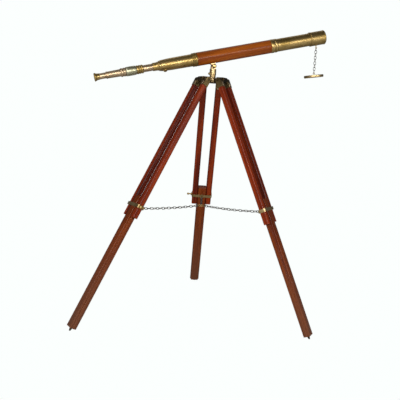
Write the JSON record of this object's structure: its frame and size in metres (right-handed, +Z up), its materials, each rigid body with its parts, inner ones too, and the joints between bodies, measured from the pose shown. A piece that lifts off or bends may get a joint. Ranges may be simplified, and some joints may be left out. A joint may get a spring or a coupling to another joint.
{
  "type": "telescope on tripod",
  "caption": "Antique-style refracting telescope in brass and wood on a folding wooden tripod with sliding lower legs, stay chains and a hanging lens cap.",
  "frame": {"origin": "on the floor, below the middle of the whole object's box", "axes": "+Z up; -Y towards the viewer who sees the telescope from its side; +X towards the side that the objective points to"},
  "size_m": [0.9505, 0.8665, 1.2148],
  "materials": {
    "brass": "aged polished brass",
    "dark_brass": "dark bronzed",
    "pale_brass": "pale polished brass",
    "leg_wood": "gloss varnished reddish hardwood",
    "barrel_wood": "gloss varnished orange-brown hardwood",
    "lens_glass": "clear",
    "steel_chain": "bright"
  },
  "bodies": {
    "head": {"tripod_head": "dark_brass", "pan_base": "brass"},
    "post": {"post_sleeve": "brass", "tilt_bolt": "brass"},
    "telescope": {"saddle": "brass", "saddle_screw": "brass", "main_tube": "brass", "wood_barrel": "barrel_wood", "rear_ring": "brass", "rear_tube": "brass", "draw_collar": "brass", "front_ring": "brass", "front_tube": "brass", "objective_cell": "dark_brass", "objective_lens": "lens_glass", "dew_cap": "brass"},
    "draw": {"draw_tube": "pale_brass", "draw_ring": "brass", "focus_grip": "pale_brass", "eyepiece_holder": "brass", "erector_lens": "lens_glass"},
    "eyepiece": {"eyepiece_tube": "pale_brass", "eye_lens": "lens_glass", "eyecup": "brass"},
    "draw_clamp_screw": {"draw_clamp_screw": "brass"},
    "tilt_knob": {"tilt_knob": "brass"},
    "pan_lock_screw": {"pan_lock_screw": "brass"},
    "cap_chain": {"cap_chain": "steel_chain"},
    "lens_cap": {"lens_cap": "brass"},
    "back_leg": {"back_rail_a": "leg_wood", "back_rail_b": "leg_wood", "back_ferrule_a": "brass", "back_ferrule_b": "brass", "back_hinge_pin": "brass", "back_band": "brass"},
    "back_lower_leg": {"back_lower_leg": "leg_wood", "back_foot_spike": "dark_brass"},
    "back_clamp_screw": {"back_clamp_screw": "brass"},
    "back_stay_chain": {"back_stay_chain": "steel_chain", "centre_ring": "brass"},
    "left_leg": {"left_rail_a": "leg_wood", "left_rail_b": "leg_wood", "left_ferrule_a": "brass", "left_ferrule_b": "brass", "left_hinge_pin": "brass", "left_band": "brass"},
    "left_lower_leg": {"left_lower_leg": "leg_wood", "left_foot_spike": "dark_brass"},
    "left_clamp_screw": {"left_clamp_screw": "brass"},
    "left_stay_chain": {"left_stay_chain": "steel_chain"},
    "right_leg": {"right_rail_a": "leg_wood", "right_rail_b": "leg_wood", "right_ferrule_a": "brass", "right_ferrule_b": "brass", "right_hinge_pin": "brass", "right_band": "brass"},
    "right_lower_leg": {"right_lower_leg": "leg_wood", "right_foot_spike": "dark_brass"},
    "right_clamp_screw": {"right_clamp_screw": "brass"},
    "right_stay_chain": {"right_stay_chain": "steel_chain"}
  },
  "joints": [
    {"name": "back_leg_fold", "type": "hinge", "parent": "head", "child": "back_leg", "pos_m": [0.00906, -0.06406, 0.9716], "axis": [-0.9987, -0.0506, 0], "range_deg": [0, 25.8]},
    {"name": "back_leg_extend", "type": "slide", "parent": "back_leg", "child": "back_lower_leg", "axis": [0.0228, -0.4503, 0.8926], "range_m": [-0.02, 0.385]},
    {"name": "back_clamp_turn", "type": "hinge", "parent": "back_leg", "child": "back_clamp_screw", "pos_m": [-0.06363, 0.18508, 0.47175], "axis": [-0.9987, -0.0506, 0], "continuous": true},
    {"name": "back_chain_hang", "type": "hinge", "parent": "back_leg", "child": "back_stay_chain", "pos_m": [-0.00258, 0.16578, 0.46046], "axis": [-0.9987, -0.0506, 0], "range_deg": [-115, 0]},
    {"name": "left_leg_fold", "type": "hinge", "parent": "head", "child": "left_leg", "pos_m": [-0.02739, -0.13529, 0.9716], "axis": [0.5432, -0.8396, 0], "range_deg": [0, 27]},
    {"name": "left_leg_extend", "type": "slide", "parent": "left_leg", "child": "left_lower_leg", "axis": [0.3946, 0.2553, 0.8827], "range_m": [-0.02, 0.385]},
    {"name": "left_clamp_turn", "type": "hinge", "parent": "left_leg", "child": "left_clamp_screw", "pos_m": [-0.21971, -0.33118, 0.46847], "axis": [0.5432, -0.8396, 0], "continuous": true},
    {"name": "left_chain_hang", "type": "hinge", "parent": "left_leg", "child": "left_stay_chain", "pos_m": [-0.23374, -0.26879, 0.4567], "axis": [0.5432, -0.8396, 0], "range_deg": [-116, 0]},
    {"name": "right_leg_fold", "type": "hinge", "parent": "head", "child": "right_leg", "pos_m": [0.05253, -0.13125, 0.9716], "axis": [0.4555, 0.8902, 0], "range_deg": [0, 23.7]},
    {"name": "right_leg_extend", "type": "slide", "parent": "right_leg", "child": "right_lower_leg", "axis": [-0.3723, 0.1905, 0.9084], "range_m": [-0.02, 0.385]},
    {"name": "right_clamp_turn", "type": "hinge", "parent": "right_leg", "child": "right_clamp_screw", "pos_m": [0.28201, -0.18128, 0.47836], "axis": [0.4555, 0.8902, 0], "continuous": true},
    {"name": "right_chain_hang", "type": "hinge", "parent": "right_leg", "child": "right_stay_chain", "pos_m": [0.23442, -0.22432, 0.46788], "axis": [0.4555, 0.8902, 0], "range_deg": [-113, 0]},
    {"name": "pan", "type": "hinge", "parent": "head", "child": "post", "pos_m": [0.0114, -0.1102, 1], "axis": [0, 0, 1], "continuous": true},
    {"name": "tilt", "type": "hinge", "parent": "post", "child": "telescope", "pos_m": [0.0114, -0.1102, 1.0285], "axis": [0.2588, -0.9659, 0], "range_deg": [-44.3, 27.7]},
    {"name": "tilt_knob_turn", "type": "hinge", "parent": "post", "child": "tilt_knob", "pos_m": [0.01606, -0.12759, 1.0285], "axis": [0.2588, -0.9659, 0], "continuous": true},
    {"name": "pan_lock_turn", "type": "hinge", "parent": "post", "child": "pan_lock_screw", "pos_m": [-0.00309, -0.11408, 0.999], "axis": [-0.9659, -0.2588, 0], "continuous": true},
    {"name": "draw_slide", "type": "slide", "parent": "telescope", "child": "draw", "axis": [0.936, 0.2508, 0.247], "range_m": [-0.06, 0.033]},
    {"name": "eyepiece_slide", "type": "slide", "parent": "draw", "child": "eyepiece", "axis": [0.936, 0.2508, 0.247], "range_m": [-0.01, 0.025]},
    {"name": "draw_clamp_turn", "type": "hinge", "parent": "telescope", "child": "draw_clamp_screw", "pos_m": [-0.17586, -0.17601, 0.9981], "axis": [0.3483, -0.5582, -0.7531], "continuous": true},
    {"name": "cap_chain_swing", "type": "hinge", "parent": "telescope", "child": "cap_chain", "pos_m": [0.43522, 0.00336, 1.14197], "axis": [0.2588, -0.9659, 0], "range_deg": [-45, 45]},
    {"name": "lens_cap_swing", "type": "hinge", "parent": "cap_chain", "child": "lens_cap", "pos_m": [0.43522, 0.00336, 1.03547], "axis": [0.2588, -0.9659, 0], "range_deg": [-70, 70]}
  ],
  "couplings": [
    {"joint": "back_chain_hang", "follows": "back_leg_fold", "ratio": -4.411},
    {"joint": "left_chain_hang", "follows": "left_leg_fold", "ratio": -4.259},
    {"joint": "right_chain_hang", "follows": "right_leg_fold", "ratio": -4.713}
  ]
}
